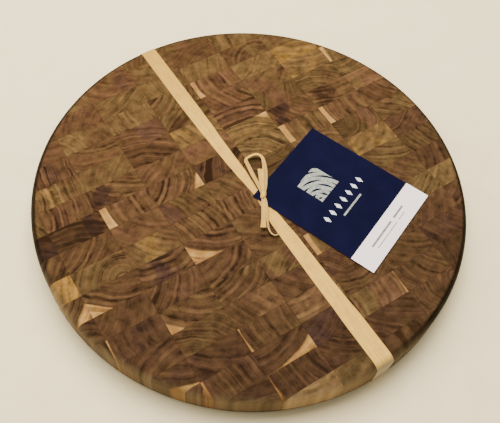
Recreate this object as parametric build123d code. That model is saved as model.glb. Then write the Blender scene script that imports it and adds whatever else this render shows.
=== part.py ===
from build123d import *
import math
import os

# Round end-grain chopping block, tied with a flat ribbon that carries a hang tag.
# Frame: millimetres, +Z up, origin under the centre of the board on the surface that it
# rests on. +X runs along the rows of blocks, +Y across them.

# Board: a disc cut from a glued panel of end-grain blocks
board_d = 355.6
board_t = 31.75
edge_r = 6.0  # round-over of the top and bottom edges

# Blocks: the glue lines make a plain grid, with one line across the board's centre
block_l = 42.55  # along X
block_w = 20.2  # along Y
column_line_x = 9.5  # the glue line next to the board's centre

# Ribbon: one flat cotton tape, once round the board and tied on top
ribbon_w = 15.0
ribbon_t = 0.4
ribbon_slack = 0.1  # between the tape and the round edge of the board
ribbon_x = -0.8  # where the tape crosses the board's middle
ribbon_turn_deg = 1.0
gathered_w = 9.0  # width of the tape where the knot pinches it
gather_far_l = 45.0  # from the knot to where the tape is flat again, on either side
gather_near_l = 38.0
cut_over = 1.0

# Hang tag: a card with a label strip on its lower end
card_w = 88.9
card_l = 114.3
card_t = 0.5
card_turn_deg = 22.2
card_hole_r = 2.5
card_hole_from_side = 5.0
card_hole_from_top = 7.0
label_l = 20.5
label_t = 0.15
running_gap = 0.3  # free height under and over the card, so that it can swing

# Knot and bow: the tape folded to a narrow strip
knot_x = 1.8
knot_y = -14.4
bow_turn_deg = -34.0  # the bow's own +Y, seen from above
knot_w = 5.2
knot_l = 7.5
knot_h = 3.4
knot_edge_r = 1.2
knot_stem_r = 1.6  # the strands that go down through the hole in the card
strip_t = 1.3

loop_strip_w = 3.2
loop_w = 17.2
loop_l = 40.0
loop_corner_r = 2.0
# Centre line of the loop, clockwise from the knot: shares of loop_w and loop_l
loop_shares = [(-0.03, -0.04), (-0.92, 0.79), (-0.80, 0.92), (-0.44, 0.97), (-0.07, 0.91), (0.07, 0.65), (0.05, 0.22)]

upper_tail_w = 4.4
upper_tail_root_w = 2.8
upper_tail_l = 23.4
upper_tail_lean = 3.2  # its cut end lies this far to the left of its root

lower_tail_w = 5.7
lower_tail_root_w = 3.4
lower_tail_root_x = -0.5
lower_tail_l = 25.6
lower_tail_lean = 1.35
lower_tail_flare_l = 7.2

curl_strip_w = 1.2
curl_root_x = 2.0
curl_w = 12.0
curl_l = 31.8
curl_corner_r = 2.0
# Centre line of the curl from its root: shares of curl_w and curl_l
curl_shares = [(0.0, 0.0), (0.22, 0.68), (0.37, 0.92), (0.70, 1.0), (1.0, 0.91)]

# Heights and radii that follow from the sizes above
board_r = board_d / 2
board_bottom_z = ribbon_t
board_top_z = board_bottom_z + board_t
ribbon_top_z = board_top_z + ribbon_t
card_z = ribbon_top_z + running_gap
card_top_z = card_z + card_t
bow_z = card_top_z + running_gap
knot_end = knot_l / 2

UP_FROM = (Align.CENTER, Align.CENTER, Align.MIN)
bow_place = Pos(knot_x, knot_y, bow_z) * Rot(0, 0, bow_turn_deg)
card_place = Pos(knot_x, knot_y, card_z) * Rot(0, 0, card_turn_deg)


def rounded_disc(radius, height, corner_r):
    """A disc standing on z = 0, with both its edges rounded over."""
    disc = Cylinder(radius, height, align=UP_FROM)
    return fillet(disc.edges().filter_by(GeomType.CIRCLE), corner_r)


def plate(points, thickness):
    """A flat plate on z = 0 with a straight-sided outline."""
    return extrude(make_face(Polyline(*points, close=True)), thickness)


def write(name, shape):
    """Write one sub-part to its own file."""
    shape.label = name
    export_step(shape, os.path.join("parts", name + ".step"))


# Rows of blocks: near ones on the -Y side and far ones on the +Y side of the middle glue
# line, each counted from the rim inwards. Each block is the part of its grid cell that
# lies inside the disc, so the blocks at the rim carry the rounded edge.
board = Pos(0, 0, board_bottom_z) * rounded_disc(board_r, board_t, edge_r)
rows_each_side = math.ceil(board_r / block_w)
first_column = math.floor((-board_r - column_line_x) / block_l)
last_column = math.ceil((board_r - column_line_x) / block_l)


def block_row(low_y):
    """The blocks between the glue lines at low_y and one block width further."""
    blocks = []
    for column in range(first_column, last_column):
        low_x = column_line_x + column * block_l
        nearest_x = max(low_x, -(low_x + block_l), 0)
        nearest_y = max(low_y, -(low_y + block_w), 0)
        if math.hypot(nearest_x, nearest_y) < board_r:
            centre = Pos(low_x + block_l / 2, low_y + block_w / 2, board_bottom_z)
            cell = centre * Box(block_l, block_w, board_t, align=UP_FROM)
            blocks += (cell & board).solids()
    return Compound(blocks)


for number in range(1, rows_each_side + 1):
    steps_out = rows_each_side - number
    write(f"near_row_{number:02d}", block_row(-(steps_out + 1) * block_w))
    write(f"far_row_{number:02d}", block_row(steps_out * block_w))

# Ribbon round the board: a thin shell of the board's own profile, cut to the tape's
# width, and drawn in on both sides where the knot gathers it.
wrap_outer = rounded_disc(board_r + ribbon_slack + ribbon_t, board_t + 2 * ribbon_t, edge_r + ribbon_t)
wrap_inner = Pos(0, 0, board_bottom_z) * rounded_disc(board_r + ribbon_slack, board_t, edge_r)
ribbon_place = Pos(ribbon_x, 0, 0) * Rot(0, 0, ribbon_turn_deg)
tape_space = ribbon_place * Box(ribbon_w, 2 * board_d, 2 * ribbon_top_z)
band = (wrap_outer - wrap_inner) & tape_space
for side in (-1, 1):
    notch = plate(
        [
            (side * gathered_w / 2, knot_end),
            (side * ribbon_w / 2, gather_far_l),
            (side * (ribbon_w / 2 + cut_over), gather_far_l),
            (side * (ribbon_w / 2 + cut_over), -gather_near_l),
            (side * ribbon_w / 2, -gather_near_l),
            (side * gathered_w / 2, -knot_end),
        ],
        ribbon_t + cut_over,
    )
    band -= ribbon_place * Pos(0, knot_y, board_top_z) * notch
write("ribbon_band", band)

# Knot: a lump with rounded flanks over the card, and the strands that join it to the
# band through the hole in the card.
lump = Box(knot_w, knot_l, knot_h, align=UP_FROM)
lump = fillet(lump.edges().filter_by(Axis.Y), knot_edge_r)
stem_h = bow_z - ribbon_top_z
stem = Pos(0, 0, -stem_h) * Cylinder(knot_stem_r, stem_h, align=UP_FROM)
write("ribbon_knot", bow_place * (lump + stem))

# Loop of the bow: a strip of even width along a closed line, cut off flat at the knot
loop_line = FilletPolyline(
    *[(loop_w * x_share, knot_end + loop_l * y_share) for x_share, y_share in loop_shares],
    radius=loop_corner_r,
    close=True,
)
loop_face = make_face(loop_line)
loop_ring = offset(loop_face, loop_strip_w / 2) - offset(loop_face, -loop_strip_w / 2)
loop_space = Pos(0, knot_end, 0) * Rectangle(4 * loop_w, 2 * loop_l, align=(Align.CENTER, Align.MIN))
write("bow_loop", bow_place * extrude(loop_ring & loop_space, strip_t))

# Upper tail: a flat end lying on the loop's root, cut square
upper_tail = plate(
    [
        (-upper_tail_root_w / 2, knot_end),
        (-upper_tail_lean - upper_tail_w / 2, knot_end + upper_tail_l),
        (-upper_tail_lean + upper_tail_w / 2, knot_end + upper_tail_l),
        (upper_tail_root_w / 2, knot_end),
    ],
    strip_t,
)
write("bow_upper_tail", bow_place * Pos(0, 0, strip_t) * upper_tail)

# Lower tail: leaves the knot the other way, and flares at its cut end
flare_y = -knot_end - lower_tail_l + lower_tail_flare_l
lower_tail_x = lower_tail_root_x + lower_tail_lean
lower_tail = plate(
    [
        (lower_tail_root_x - lower_tail_root_w / 2, -knot_end),
        (lower_tail_root_x + lower_tail_root_w / 2, -knot_end),
        (lower_tail_x + lower_tail_root_w / 2, flare_y),
        (lower_tail_x + lower_tail_w / 2, -knot_end - lower_tail_l),
        (lower_tail_x - lower_tail_w / 2, -knot_end - lower_tail_l),
        (lower_tail_x - lower_tail_root_w / 2, flare_y),
    ],
    strip_t,
)
write("bow_lower_tail", bow_place * lower_tail)

# Curl: the narrow rolled end beside the lower tail, hooked at its tip
curl_line = FilletPolyline(
    *[(curl_root_x + curl_w * x_share, -knot_end - curl_l * y_share) for x_share, y_share in curl_shares],
    radius=curl_corner_r,
)
curl_section = Plane(origin=curl_line @ 0, x_dir=(0, 0, 1), z_dir=curl_line % 0) * Rectangle(
    strip_t, curl_strip_w, align=(Align.MIN, Align.CENTER)
)
curl_space = Pos(0, -knot_end, 0) * Box(
    4 * curl_w, 2 * curl_l, strip_t, align=(Align.CENTER, Align.MAX, Align.MIN)
)
write("bow_curl", bow_place * (sweep(curl_section, path=curl_line) & curl_space))

# Hang tag: the card turns about its hole, and the label strip is stuck on its lower end
card_x = card_w / 2 - card_hole_from_side
card = Pos(card_x, card_hole_from_top) * Box(
    card_w, card_l, card_t, align=(Align.CENTER, Align.MAX, Align.MIN)
)
card -= Cylinder(card_hole_r, 4 * card_t)
write("tag_card", card_place * card)

label = Pos(card_x, card_hole_from_top - card_l, card_t) * Box(
    card_w, label_l, label_t, align=(Align.CENTER, Align.MIN, Align.MIN)
)
write("tag_label", card_place * label)
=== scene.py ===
import math
import random

import bpy
from mathutils import Matrix, Vector


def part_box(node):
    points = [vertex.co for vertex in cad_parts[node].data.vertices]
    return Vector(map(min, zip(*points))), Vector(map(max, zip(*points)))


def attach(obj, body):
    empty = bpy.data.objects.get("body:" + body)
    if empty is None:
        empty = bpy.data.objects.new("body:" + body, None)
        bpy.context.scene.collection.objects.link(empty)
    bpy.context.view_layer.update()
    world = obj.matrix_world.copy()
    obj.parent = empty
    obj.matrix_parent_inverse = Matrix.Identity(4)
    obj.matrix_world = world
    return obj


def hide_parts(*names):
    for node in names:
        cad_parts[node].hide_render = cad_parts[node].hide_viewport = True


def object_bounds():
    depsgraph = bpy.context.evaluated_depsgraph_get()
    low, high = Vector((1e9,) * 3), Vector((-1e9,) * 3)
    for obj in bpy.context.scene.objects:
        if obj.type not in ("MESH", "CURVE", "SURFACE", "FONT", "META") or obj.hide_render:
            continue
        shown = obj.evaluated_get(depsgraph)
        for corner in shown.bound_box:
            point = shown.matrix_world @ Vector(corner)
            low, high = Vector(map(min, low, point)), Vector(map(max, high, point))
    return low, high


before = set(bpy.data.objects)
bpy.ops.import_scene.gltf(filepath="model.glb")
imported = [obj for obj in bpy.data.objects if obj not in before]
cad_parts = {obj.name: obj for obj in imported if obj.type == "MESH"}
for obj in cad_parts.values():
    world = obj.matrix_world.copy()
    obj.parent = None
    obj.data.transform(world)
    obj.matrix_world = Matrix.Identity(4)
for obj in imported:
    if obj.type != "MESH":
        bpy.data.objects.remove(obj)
cad_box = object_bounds()

# The board. Eighteen strips of teak blocks stand on end, glued side by side into a panel that
# is turned into a disc, rounded over at both edges, sanded flush and oiled. Every block shows
# the growth rings of another piece of a tree, and some keep a corner of pale sapwood.
MM = 0.001
BLOCK_L = 42.55
BLOCK_W = 20.2
COLUMNS = 9
ROWS_EACH_SIDE = 9
BOARD_REACH = 178.0
MIDDLE_LINE_X = 9.5  # the glue line next to the board's centre, and how many columns come first
COLUMNS_BEFORE = 5
FIRST_LINE_X = MIDDLE_LINE_X - COLUMNS_BEFORE * BLOCK_L
GLUE_LINE = 0.35  # a real one is 0.1 mm, drawn this wide so that it shows
HEART_REACH = 75.0  # how far from a block's centre its tree's heart can lie
RING_REACH = 8.0
SAP_REACH = 120.0
LIT_RIM_SIDE = (-0.67, -0.74, 0.0)  # the direction of the side of the rim that faces the light and is left out of the painted shade
DRAW_SEED = 14
NEAR_BLACK = "#25170b"
HEARTWOOD = [
    (0.0, "#4c3427"), (0.25, "#533822"), (0.45, "#523920"),
    (0.65, "#533e21"), (0.82, "#5a4223"), (1.0, "#6e4f22"),
]
SAPWOOD = [(0.3, "#885f3c"), (0.5, "#a0763f"), (0.7, "#ad8650")]

# The scales of the wood's marks, as how many there are in a mm or in a year's growth, and how
# far in mm the rings wander. Teak's pores are 0.2 mm wide, and are drawn coarser to show.
BENDS_PER_MM = 0.06
BENDS_REACH = 5.5
RIPPLES_PER_MM = 0.3
RIPPLES_REACH = 0.8
BANDS_PER_YEAR = 0.8
VEINS_PER_YEAR = 0.45
FINE_LINES_PER_MM = 0.8
FADES_PER_MM = 0.09
MOTTLES_PER_MM = 0.13
STAINS_PER_MM = 0.08
PORES_PER_MM = 0.9
BLOCKS_APART = 900.0  # how far apart in the same noise two blocks can be cut from
YEARS_APART = 97.0


def linear(code):
    """A linear colour with full alpha from an sRGB hex code."""
    channels = [int(code[i : i + 2], 16) / 255 for i in (1, 3, 5)]
    return [c / 12.92 if c <= 0.04045 else ((c + 0.055) / 1.055) ** 2.4 for c in channels] + [1.0]


def fill(tree, node, inputs):
    """Fills a node's sockets, each with a value, a link, or another node's result."""
    for key, value in dict(inputs).items():
        if isinstance(value, bpy.types.Node):
            value = next(s for s in value.outputs if s.enabled)
        if isinstance(value, bpy.types.NodeSocket):
            tree.links.new(value, node.inputs[key])
        else:
            node.inputs[key].default_value = value


def add(tree, kind, inputs=(), **settings):
    """Adds a node with its settings and fills its sockets."""
    made = tree.nodes.new("ShaderNode" + kind)
    for key, value in settings.items():
        setattr(made, key, value)
    fill(tree, made, inputs)
    return made


def fill_ramp(ramp_node, stops, interpolation="LINEAR"):
    """Gives a colour ramp its stops, each a place and a colour, as a hex code or as values."""
    ramp = ramp_node.color_ramp
    ramp.interpolation = interpolation
    while len(ramp.elements) < len(stops):
        ramp.elements.new(1.0)
    for element, (place, colour) in zip(ramp.elements, stops):
        element.position = place
        element.color = linear(colour) if isinstance(colour, str) else colour


def blank_finish(name):
    """A new material, its node tree and shader, and the point of the part that it colours, in mm."""
    made = bpy.data.materials.new(name)
    made.use_nodes = True
    tree = made.node_tree
    place = add(tree, "TexCoord").outputs["Object"]
    place = add(tree, "VectorMath", {0: place, "Scale": 1 / MM}, operation="SCALE")
    return made, tree, tree.nodes["Principled BSDF"], place


def levelness(tree):
    """1 where the surface lies level, and 0 where it stands upright."""
    facing = add(tree, "SeparateXYZ", {0: add(tree, "NewGeometry").outputs["True Normal"]})
    return add(tree, "Math", {0: facing.outputs["Z"]}, operation="ABSOLUTE")


def block(heart, ring, contrast, hue, tone, sap=SAP_REACH, streak=0.0, patch=(0, 0, 0.5, 0.5)):
    """What one block shows. heart is where its rings are centred, in mm from its own centre,
    ring their spacing, hue runs from purple brown through red and olive to gold, tone from dark
    to light, sap is the radius past which the wood is pale, and streak its black streaks. patch
    is a stained patch: its place along the block in mm, strength, hue and tone."""
    heart_shares = [0.5 + place / HEART_REACH / 2 for place in heart]
    return {
        "rings": [*heart_shares, ring / RING_REACH, contrast],
        "tints": [hue, tone, sap / SAP_REACH, streak],
        "patch": [0.5 + patch[0] / BLOCK_L, patch[2], patch[3], patch[1]],
    }


def chance_block(draw, far):
    """A block as it comes off the pile: rings at any angle, mostly middling brown. The strips
    on the far side, where far nears 1, are drawn lighter and more golden than those on the near side,
    with softer rings and fewer black streaks: partly the timber's own tone and partly painted light
    for the brighter light and sheen on the far side."""
    angle = draw.uniform(0, 2 * math.pi)
    away = draw.uniform(14, 70)
    return block(
        heart=(away * math.cos(angle), away * math.sin(angle)),
        ring=draw.uniform(2.4, 5.0),
        contrast=draw.uniform(0.4, 0.9) * (1 - 0.25 * far),
        hue=draw.uniform(0.2, 0.52) + 0.22 * far,
        tone=draw.uniform(0.26, 0.46) + 0.13 * far,
        sap=away + draw.uniform(18, 26) if draw.random() < 0.1 else SAP_REACH,
        streak=draw.choice([0.0, 0.0, 0.4, 0.7]) * (1 - 0.9 * far),
        patch=(
            draw.uniform(-20, 20),
            draw.choice([0, 0, 0.5, 0.7]),
            draw.choice([0.05, 0.3, 0.9, 1.0]),
            draw.uniform(0.4, 0.6),
        ),
    )


# The blocks that catch the eye, by strip and by place in it, counted from the -X end
NOTABLE = {
    "far_row_02": {
        3: block((30, 50), 3.6, 0.5, 0.40, 0.52, patch=(12, 0.8, 0.15, 0.42)),
        7: block((-50, 30), 3.8, 0.4, 0.85, 0.52),
    },
    "far_row_03": {
        2: block((50, -40), 4.2, 0.5, 0.36, 0.46),
        3: block((-30, 60), 3.4, 0.4, 0.6, 0.52),
    },
    "far_row_04": {
        1: block((30, 60), 4.0, 0.4, 0.34, 0.46),
        2: block((-50, -20), 3.6, 0.5, 0.50, 0.50, patch=(-12, 0.9, 0.7, 0.70)),
        3: block((60, 6), 3.4, 0.4, 0.7, 0.55),
        5: block((70, 5), 4.5, 0.6, 0.34, 0.54, sap=87),
        6: block((-40, 40), 4.0, 0.4, 0.7, 0.59),
        7: block((30, 60), 4.0, 0.5, 0.95, 0.58),
    },
    "far_row_05": {
        1: block((-70, 8), 2.4, 0.7, 0.38, 0.40, patch=(2, 0.6, 0.1, 0.34)),
        2: block((20, 60), 4.2, 0.4, 0.42, 0.48),
        3: block((-26, -60), 5.0, 0.9, 0.34, 0.46, streak=1.0, patch=(8, 0.6, 0.0, 0.40)),
        4: block((30, -60), 4.0, 1.0, 0.52, 0.42, streak=0.6),
        5: block((60, 30), 4.4, 0.6, 0.34, 0.52),
        6: block((-30, 50), 4.4, 0.4, 0.55, 0.52, patch=(-8, 0.8, 0.2, 0.48)),
        7: block((20, 60), 4.2, 0.4, 0.8, 0.61),
        8: block((45, -10), 4.2, 0.5, 0.6, 0.56, sap=64.5),
    },
    "far_row_06": {
        1: block((-60, 4), 3.8, 0.7, 0.55, 0.50, patch=(-4, 0.8, 0.95, 0.60)),
        2: block((50, -40), 4.2, 0.4, 0.60, 0.52),
        3: block((-24, -50), 4.6, 0.8, 0.40, 0.46, streak=0.5, patch=(3, 0.7, 0.15, 0.36)),
        4: block((60, 30), 4.0, 0.5, 0.85, 0.56),
        5: block((-10, -56), 5.2, 0.9, 0.30, 0.46, streak=0.8, patch=(-4, 0.6, 0.2, 0.36)),
        8: block((-10, 50), 3.5, 0.5, 0.7, 0.47, patch=(-14, 0.8, 0.6, 0.55)),
    },
    "far_row_07": {
        1: block((-66, 10), 3.4, 0.9, 0.34, 0.44),
        2: block((34, 46), 4.5, 0.7, 0.48, 0.46, patch=(-12, 1.0, 0.12, 0.22)),
        3: block((-40, 50), 4.5, 0.4, 0.42, 0.50),
        4: block((50, 50), 4.5, 0.4, 0.38, 0.60),
        5: block((-14, -38), 4.2, 0.9, 0.72, 0.54, sap=53.5),
        6: block((40, 30), 5.0, 0.6, 0.48, 0.46, patch=(-12, 1.0, 0.12, 0.22)),
        7: block((12, 60), 4.5, 0.7, 0.50, 0.48, patch=(-9, 1.0, 0.3, 0.22)),
        8: block((-6, -50), 4.5, 0.6, 0.42, 0.74),
    },
    "far_row_08": {
        0: block((-30, -55), 4.5, 1.0, 0.15, 0.16, streak=0.9),
        1: block((-20, -62), 5.0, 1.2, 0.38, 0.24, streak=1.0, patch=(12, 0.9, 0.1, 0.10)),
        2: block((72, 6), 4.6, 0.6, 0.36, 0.50, sap=87.5),
        3: block((-40, 30), 4.2, 0.8, 0.40, 0.48, sap=65),
        4: block((44, -30), 5.0, 1.0, 0.24, 0.34, streak=1.0),
        5: block((-30, -34), 4.0, 0.8, 0.72, 0.56),
        6: block((72, -4), 4.6, 0.5, 0.52, 0.52, sap=88),
        7: block((72, 4), 4.4, 0.5, 0.42, 0.52, sap=89),
        8: block((50, 30), 4.4, 0.6, 0.40, 0.42),
    },
    "far_row_09": {
        0: block((-38, 44), 3.6, 1.0, 0.44, 0.36),
        1: block((-38, 44), 3.6, 1.0, 0.40, 0.38),
        2: block((60, 60), 5.0, 0.3, 0.36, 0.50),
        3: block((-50, -20), 4.4, 0.7, 0.50, 0.44, patch=(-16, 0.7, 0.0, 0.38)),
        4: block((-50, -30), 4.4, 0.6, 0.46, 0.50),
        6: block((40, 50), 4.6, 0.5, 0.50, 0.54),
    },
    "near_row_09": {
        0: block((-60, 30), 4.0, 0.5, 1.0, 0.80),
        1: block((12, -14), 3.8, 1.0, 0.52, 0.50),
        2: block((50, 40), 4.8, 0.5, 0.52, 0.50, patch=(0, 0.8, 0.95, 0.58)),
        3: block((-44, -10), 4.8, 0.9, 0.46, 0.47),
        4: block((40, -8), 4.0, 0.9, 0.36, 0.49, patch=(16, 0.8, 0.6, 0.66)),
        7: block((-30, 50), 4.6, 0.5, 0.88, 0.58),
        8: block((-30, 60), 4.2, 0.6, 0.35, 0.38),
    },
    "near_row_08": {
        0: block((-30, 50), 4.4, 0.7, 0.50, 0.40, sap=69),
        1: block((30, 50), 4.4, 0.9, 0.42, 0.38, sap=69),
        2: block((4, 50), 5.4, 1.0, 0.40, 0.42, patch=(-2, 0.8, 0.0, 0.30)),
        3: block((26, 48), 4.2, 0.8, 0.34, 0.42, sap=62),
        4: block((-40, -40), 4.2, 0.5, 0.48, 0.46),
        7: block((30, 60), 4.2, 0.7, 0.60, 0.44),
        8: block((60, 20), 4.2, 0.6, 0.50, 0.36),
    },
    "near_row_07": {
        0: block((40, 40), 4.4, 0.6, 0.34, 0.28),
        1: block((-50, 40), 4.4, 0.6, 0.34, 0.36),
        2: block((-44, 30), 5.2, 0.7, 0.36, 0.38, patch=(4, 0.9, 0.22, 0.46)),
        3: block((-30, 50), 4.6, 0.8, 0.38, 0.38),
        4: block((30, 50), 4.6, 0.8, 0.44, 0.40, patch=(10, 0.8, 0.55, 0.56)),
        7: block((50, 40), 4.4, 0.6, 0.45, 0.44),
        8: block((-60, 20), 4.4, 0.5, 0.36, 0.32),
    },
    "near_row_06": {
        0: block((60, 10), 4.0, 0.8, 0.34, 0.22, sap=84),
        1: block((72, 4), 5.5, 0.6, 0.24, 0.30, sap=92),
        2: block((36, 52), 4.4, 1.0, 0.46, 0.42, sap=77),
        3: block((-20, 44), 4.4, 1.0, 0.44, 0.38),
        5: block((72, 0), 4.4, 0.6, 0.62, 0.50, sap=89),
        7: block((-20, 56), 4.4, 0.6, 0.62, 0.54),
        8: block((-50, 40), 4.4, 0.6, 0.72, 0.62),
    },
    "near_row_05": {
        0: block((30, 50), 4.4, 0.6, 0.34, 0.32),
        1: block((24, -50), 4.4, 0.6, 0.34, 0.34),
        3: block((60, 30), 4.4, 0.6, 0.42, 0.38, patch=(12, 0.8, 0.45, 0.70)),
        4: block((40, 40), 4.4, 0.6, 0.34, 0.36),
        7: block((-50, 40), 4.4, 0.6, 0.26, 0.40),
        8: block((-40, 50), 4.4, 0.6, 0.30, 0.38),
    },
    "near_row_04": {
        1: block((28, 38), 5.0, 0.5, 0.24, 0.28, sap=47.2),
        2: block((30, 50), 5.0, 0.5, 0.28, 0.28),
        3: block((72, 2), 4.6, 0.7, 0.44, 0.38, sap=92.3),
        4: block((-8, 62), 4.6, 0.9, 0.42, 0.62),
        6: block((40, 50), 4.6, 0.6, 0.45, 0.36),
        7: block((50, 30), 4.4, 0.5, 0.30, 0.30),
    },
    "near_row_03": {
        1: block((-30, 40), 4.4, 0.8, 0.34, 0.35, sap=62),
        2: block((72, 12), 4.6, 0.7, 0.34, 0.31, sap=91.6),
        3: block((-17.9, 65.4), 4.0, 0.9, 0.36, 0.31, sap=75.2),
        4: block((-30, 50), 5.5, 0.6, 0.14, 0.26),
        5: block((-72, 6), 4.6, 0.5, 0.30, 0.58, sap=92.4, patch=(-14, 0.8, 0.7, 0.56)),
        6: block((50, 26), 4.0, 0.7, 0.40, 0.36),
        7: block((60, -20), 4.4, 0.5, 0.36, 0.28),
    },
    "near_row_02": {
        2: block((24, 50), 5.0, 0.8, 0.25, 0.26, streak=0.5),
        3: block((72, 12), 4.6, 0.8, 0.32, 0.28, sap=92.7),
        4: block((30, 50), 4.6, 0.8, 0.3, 0.28),
        5: block((40, 50), 4.6, 0.6, 0.3, 0.28),
    },
    "near_row_01": {
        3: block((10, 60), 4.6, 0.4, 0.60, 0.86),
        4: block((-30, 60), 4.6, 0.5, 0.66, 0.44),
    },
}


def oiled_end_grain(strip, blocks, centre_y, far):
    """Teak end grain, sanded and oiled: rings cut square across read as dark and light arcs
    with a low sheen, and stand as straight streaks down the rim, where the grain runs."""
    made, tree, shader, place = blank_finish("oiled_teak_" + strip)

    # Which block of the strip this point is in, and what the tables say of that block
    split = add(tree, "SeparateXYZ", {0: place})
    steps = add(tree, "Math", {0: split.outputs["X"], 1: FIRST_LINE_X}, operation="SUBTRACT")
    steps = add(tree, "Math", {0: steps, 1: BLOCK_L}, operation="DIVIDE")
    column = add(tree, "Math", {0: steps}, operation="FLOOR")
    along = add(tree, "Math", {0: column, 1: 1 / COLUMNS, 2: 0.5 / COLUMNS}, operation="MULTIPLY_ADD")
    told = {}
    for kind in ("rings", "tints", "patch"):
        told[kind] = add(tree, "ValToRGB", {0: along})
        fill_ramp(told[kind], [(i / COLUMNS, b[kind]) for i, b in enumerate(blocks)], "CONSTANT")
    ring = add(tree, "SeparateColor", {0: told["rings"].outputs["Color"]})
    tint = add(tree, "SeparateColor", {0: told["tints"].outputs["Color"]})
    patch = add(tree, "SeparateColor", {0: told["patch"].outputs["Color"]})
    contrast = told["rings"].outputs["Alpha"]
    streak = told["tints"].outputs["Alpha"]
    seed = add(tree, "CombineXYZ", {"X": column, "Y": centre_y, "Z": 0.0})
    seed = add(tree, "TexWhiteNoise", {"Vector": seed}, noise_dimensions="3D")

    # Where the block's heart is, and how far this point lies from it, with a natural wobble
    flat = add(tree, "CombineXYZ", {"X": split.outputs["X"], "Y": split.outputs["Y"], "Z": 0.0})
    apart = {0: seed.outputs["Color"], "Scale": BLOCKS_APART}
    apart = add(tree, "VectorMath", apart, operation="SCALE")
    own = add(tree, "VectorMath", {0: flat, 1: apart}, operation="ADD")
    centre_x = {0: column, 1: BLOCK_L, 2: FIRST_LINE_X + BLOCK_L / 2}
    centre_x = add(tree, "Math", centre_x, operation="MULTIPLY_ADD")
    heart_x = {0: ring.outputs["Red"], 1: 2 * HEART_REACH, 2: -HEART_REACH}
    heart_x = add(tree, "Math", heart_x, operation="MULTIPLY_ADD")
    heart_x = add(tree, "Math", {0: heart_x, 1: centre_x}, operation="ADD")
    heart_y = {0: ring.outputs["Green"], 1: 2 * HEART_REACH, 2: centre_y - HEART_REACH}
    heart_y = add(tree, "Math", heart_y, operation="MULTIPLY_ADD")
    heart = add(tree, "CombineXYZ", {"X": heart_x, "Y": heart_y, "Z": 0.0})
    shifts = []
    for per_mm, detail, roughness, reach in (
        (BENDS_PER_MM, 1.0, 0.5, BENDS_REACH),
        (RIPPLES_PER_MM, 2.0, 0.6, RIPPLES_REACH),
    ):
        shift = {"Vector": own, "Scale": per_mm, "Detail": detail, "Roughness": roughness}
        shift = add(tree, "TexNoise", shift).outputs["Color"]
        shift = add(tree, "VectorMath", {0: shift, 1: (0.5, 0.5, 0.5)}, operation="SUBTRACT")
        shifts.append(add(tree, "VectorMath", {0: shift, "Scale": reach}, operation="SCALE"))
    wobble = add(tree, "VectorMath", {0: shifts[0], 1: shifts[1]}, operation="ADD")
    from_heart = add(tree, "VectorMath", {0: flat, 1: heart}, operation="SUBTRACT")
    out = add(tree, "VectorMath", {0: from_heart, 1: wobble}, operation="ADD")
    radius = add(tree, "VectorMath", {0: out}, operation="LENGTH").outputs["Value"]
    spacing = add(tree, "Math", {0: ring.outputs["Blue"], 1: RING_REACH}, operation="MULTIPLY")
    turns = add(tree, "Math", {0: radius, 1: spacing}, operation="DIVIDE")
    turns = {0: seed.outputs["Value"], 1: YEARS_APART, 2: turns}
    turns = add(tree, "Math", turns, operation="MULTIPLY_ADD")

    # Broad bands of years, the thin late wood line that ends each, and finer lines between.
    # They fade in and out along the rings, as they do where the tree grew unevenly.
    band = {"W": turns, "Scale": BANDS_PER_YEAR, "Detail": 2.0, "Roughness": 0.6}
    band = add(tree, "TexNoise", band, noise_dimensions="1D")
    band = {"Value": band, "From Min": 0.28, "From Max": 0.72, "To Min": -0.44, "To Max": 0.50}
    band = add(tree, "MapRange", band)
    year = add(tree, "Math", {0: turns}, operation="FRACT")
    late = add(tree, "Math", {0: year, 1: 2.2}, operation="POWER")
    end = {"Value": year, "From Min": 0.86, "From Max": 1.0, "To Min": 1.0, "To Max": 0.0}
    end = add(tree, "MapRange", end)
    late = add(tree, "Math", {0: late, 1: end}, operation="MULTIPLY")
    thin = {"W": radius, "Scale": FINE_LINES_PER_MM, "Detail": 3.0, "Roughness": 0.7}
    thin = add(tree, "TexNoise", thin, noise_dimensions="1D")
    thin = {"Value": thin, "From Min": 0.3, "From Max": 0.7, "To Min": -0.09, "To Max": 0.09}
    thin = add(tree, "MapRange", thin)
    faint = {"Vector": own, "Scale": FADES_PER_MM, "Detail": 2.0, "Roughness": 0.5}
    faint = add(tree, "TexNoise", faint)
    there = {"Value": faint, "From Min": 0.35, "From Max": 0.6, "To Min": 0.3, "To Max": 1.1}
    there = add(tree, "MapRange", there)
    shade = add(tree, "Math", {0: late, 1: -0.45, 2: band}, operation="MULTIPLY_ADD")
    shade = add(tree, "Math", {0: shade, 1: 0.08}, operation="ADD")
    shade = add(tree, "Math", {0: shade, 1: thin}, operation="ADD")
    shade = add(tree, "Math", {0: shade, 1: contrast}, operation="MULTIPLY")
    shade = add(tree, "Math", {0: shade, 1: there}, operation="MULTIPLY")
    spots = {"Vector": own, "Scale": MOTTLES_PER_MM, "Detail": 3.0, "Roughness": 0.6}
    spots = add(tree, "TexNoise", spots)
    spots = {"Value": spots, "From Min": 0.3, "From Max": 0.7, "To Min": -0.26, "To Max": 0.26}
    spots = add(tree, "MapRange", spots)
    pores = {"Vector": own, "Scale": PORES_PER_MM, "Detail": 3.0, "Roughness": 0.8}
    pores = add(tree, "TexNoise", pores)
    grit = {"Value": pores, "From Min": 0.25, "From Max": 0.75, "To Min": -0.12, "To Max": 0.12}
    grit = add(tree, "MapRange", grit)
    shade = add(tree, "Math", {0: shade, 1: spots}, operation="ADD")
    shade = add(tree, "Math", {0: shade, 1: grit}, operation="ADD")

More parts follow.
